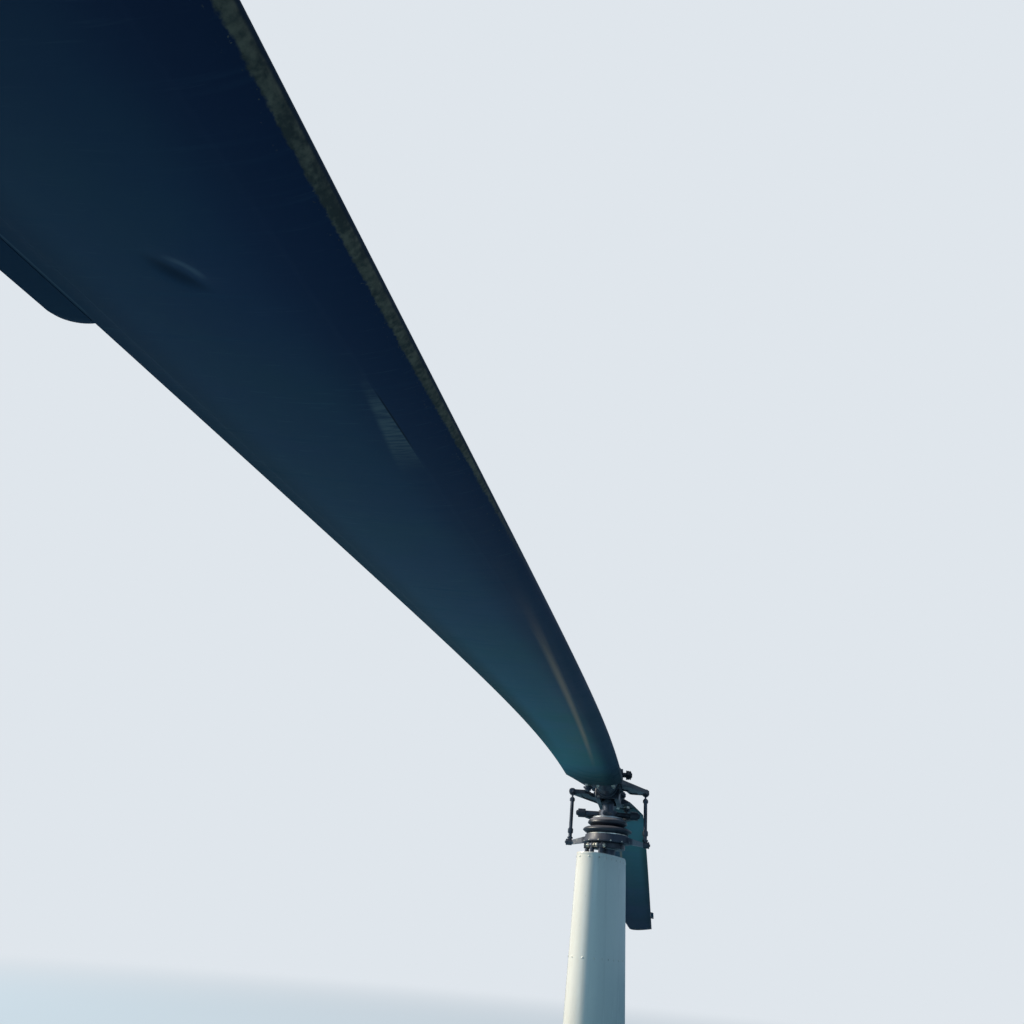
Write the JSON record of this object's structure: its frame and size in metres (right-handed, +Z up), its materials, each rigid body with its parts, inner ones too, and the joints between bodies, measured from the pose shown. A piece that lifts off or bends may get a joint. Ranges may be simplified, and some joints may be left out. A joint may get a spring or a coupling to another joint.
{
  "type": "light helicopter main rotor with mast",
  "caption": "Main rotor of a light helicopter: drooping blades on a teetering hub, with swashplate, links, shaft and a drop-shaped mast fairing.",
  "frame": {"origin": "centre of the mast foot's underside, where it bolts to the gearbox", "axes": "+Z up the mast, +X along blade A at rest, +Y towards blade A's leading edge"},
  "size_m": [7.67, 0.3076, 1.099],
  "materials": {
    "fairing_paint": "gloss cream paint on thin sheet",
    "blade_paint": "worn satin dark grey paint over metal skins",
    "hub_paint": "satin black",
    "dark_steel": "oiled dark steel",
    "bare_aluminium": "machined, slightly dull",
    "bright_bolts": "cadmium-bright bolt heads",
    "rubber": "matt black rubber",
    "bearing": "bronze bearing rings"
  },
  "bodies": {
    "mast": {"mast_foot": "dark_steel", "mast_tube": "dark_steel", "mast_bearings": "bearing", "fairing_shell": "fairing_paint", "fairing_rib_base": "bare_aluminium", "fairing_rib_middle": "bare_aluminium", "fairing_rib_top": "bare_aluminium"},
    "carriage": {"slider_sleeve": "bare_aluminium", "lower_swashplate": "hub_paint", "lug_bolts": "bright_bolts", "push_rod_left": "dark_steel", "push_rod_centre": "dark_steel", "push_rod_right": "dark_steel"},
    "shaft": {"rotor_shaft": "dark_steel", "boot_cap": "bare_aluminium", "drive_yoke": "dark_steel"},
    "drive_fork": {"drive_fork": "hub_paint"},
    "upper_swash": {"upper_swashplate": "hub_paint", "drive_link": "dark_steel", "swash_boot": "rubber"},
    "hub": {"hub": "hub_paint", "teeter_bolt": "dark_steel", "coning_bolts": "dark_steel"},
    "link_a": {"pitch_link_a": "dark_steel"},
    "spindle_a": {"spindle_a": "dark_steel", "root_seal_a": "rubber"},
    "blade_a": {"root_grip_a": "hub_paint", "pitch_horn_a": "hub_paint", "blade_a": "blade_paint", "tip_cap_a": "blade_paint", "trim_tab_a": "blade_paint"},
    "link_b": {"pitch_link_b": "dark_steel"},
    "spindle_b": {"spindle_b": "dark_steel", "root_seal_b": "rubber"},
    "blade_b": {"root_grip_b": "hub_paint", "pitch_horn_b": "hub_paint", "blade_b": "blade_paint", "tip_cap_b": "blade_paint", "trim_tab_b": "blade_paint"}
  },
  "joints": [
    {"name": "collective", "type": "slide", "parent": "mast", "child": "carriage", "axis": [0, 0, 1], "range_m": [0, 0.033]},
    {"name": "rotor_spin", "type": "hinge", "parent": "mast", "child": "shaft", "pos_m": [0, 0, 0], "axis": [0, 0, 1], "continuous": true},
    {"name": "swash_slide", "type": "slide", "parent": "shaft", "child": "upper_swash", "axis": [0, 0, 1], "range_m": [0, 0.033], "deforming": ["swash_boot"]},
    {"name": "fork_hinge", "type": "hinge", "parent": "shaft", "child": "drive_fork", "pos_m": [0, 0, 0.867], "axis": [0, 1, 0], "range_deg": [0, 19.1]},
    {"name": "teeter", "type": "hinge", "parent": "shaft", "child": "hub", "pos_m": [0, 0, 1.013], "axis": [0, 1, 0], "range_deg": [-7, 7]},
    {"name": "link_lean_a", "type": "hinge", "parent": "upper_swash", "child": "link_a", "pos_m": [0.032, 0.139, 0.765], "axis": [0, 1, 0], "range_deg": [-2.15, 2.15]},
    {"name": "coning_a", "type": "hinge", "parent": "hub", "child": "spindle_a", "pos_m": [0.07, 0, 0.95], "axis": [0, -1, 0], "range_deg": [0, 5]},
    {"name": "feather_a", "type": "hinge", "parent": "spindle_a", "child": "blade_a", "pos_m": [0.118, 0, 0.95], "axis": [1, 0, 0], "range_deg": [0, 13.75]},
    {"name": "link_lean_b", "type": "hinge", "parent": "upper_swash", "child": "link_b", "pos_m": [-0.032, -0.139, 0.765], "axis": [0, 1, 0], "range_deg": [-2.15, 2.15]},
    {"name": "coning_b", "type": "hinge", "parent": "hub", "child": "spindle_b", "pos_m": [-0.07, 0, 0.95], "axis": [0, 1, 0], "range_deg": [0, 5]},
    {"name": "feather_b", "type": "hinge", "parent": "spindle_b", "child": "blade_b", "pos_m": [-0.118, 0, 0.95], "axis": [-1, 0, 0], "range_deg": [0, 13.75]}
  ],
  "couplings": [
    {"joint": "swash_slide", "follows": "collective", "ratio": 1},
    {"joint": "fork_hinge", "follows": "collective", "rad_per_m": 10.046},
    {"joint": "link_lean_a", "follows": "teeter", "ratio": -0.3},
    {"joint": "feather_a", "follows": "collective", "rad_per_m": 7.2445},
    {"joint": "link_lean_b", "follows": "teeter", "ratio": -0.3},
    {"joint": "feather_b", "follows": "collective", "rad_per_m": 7.2445}
  ]
}
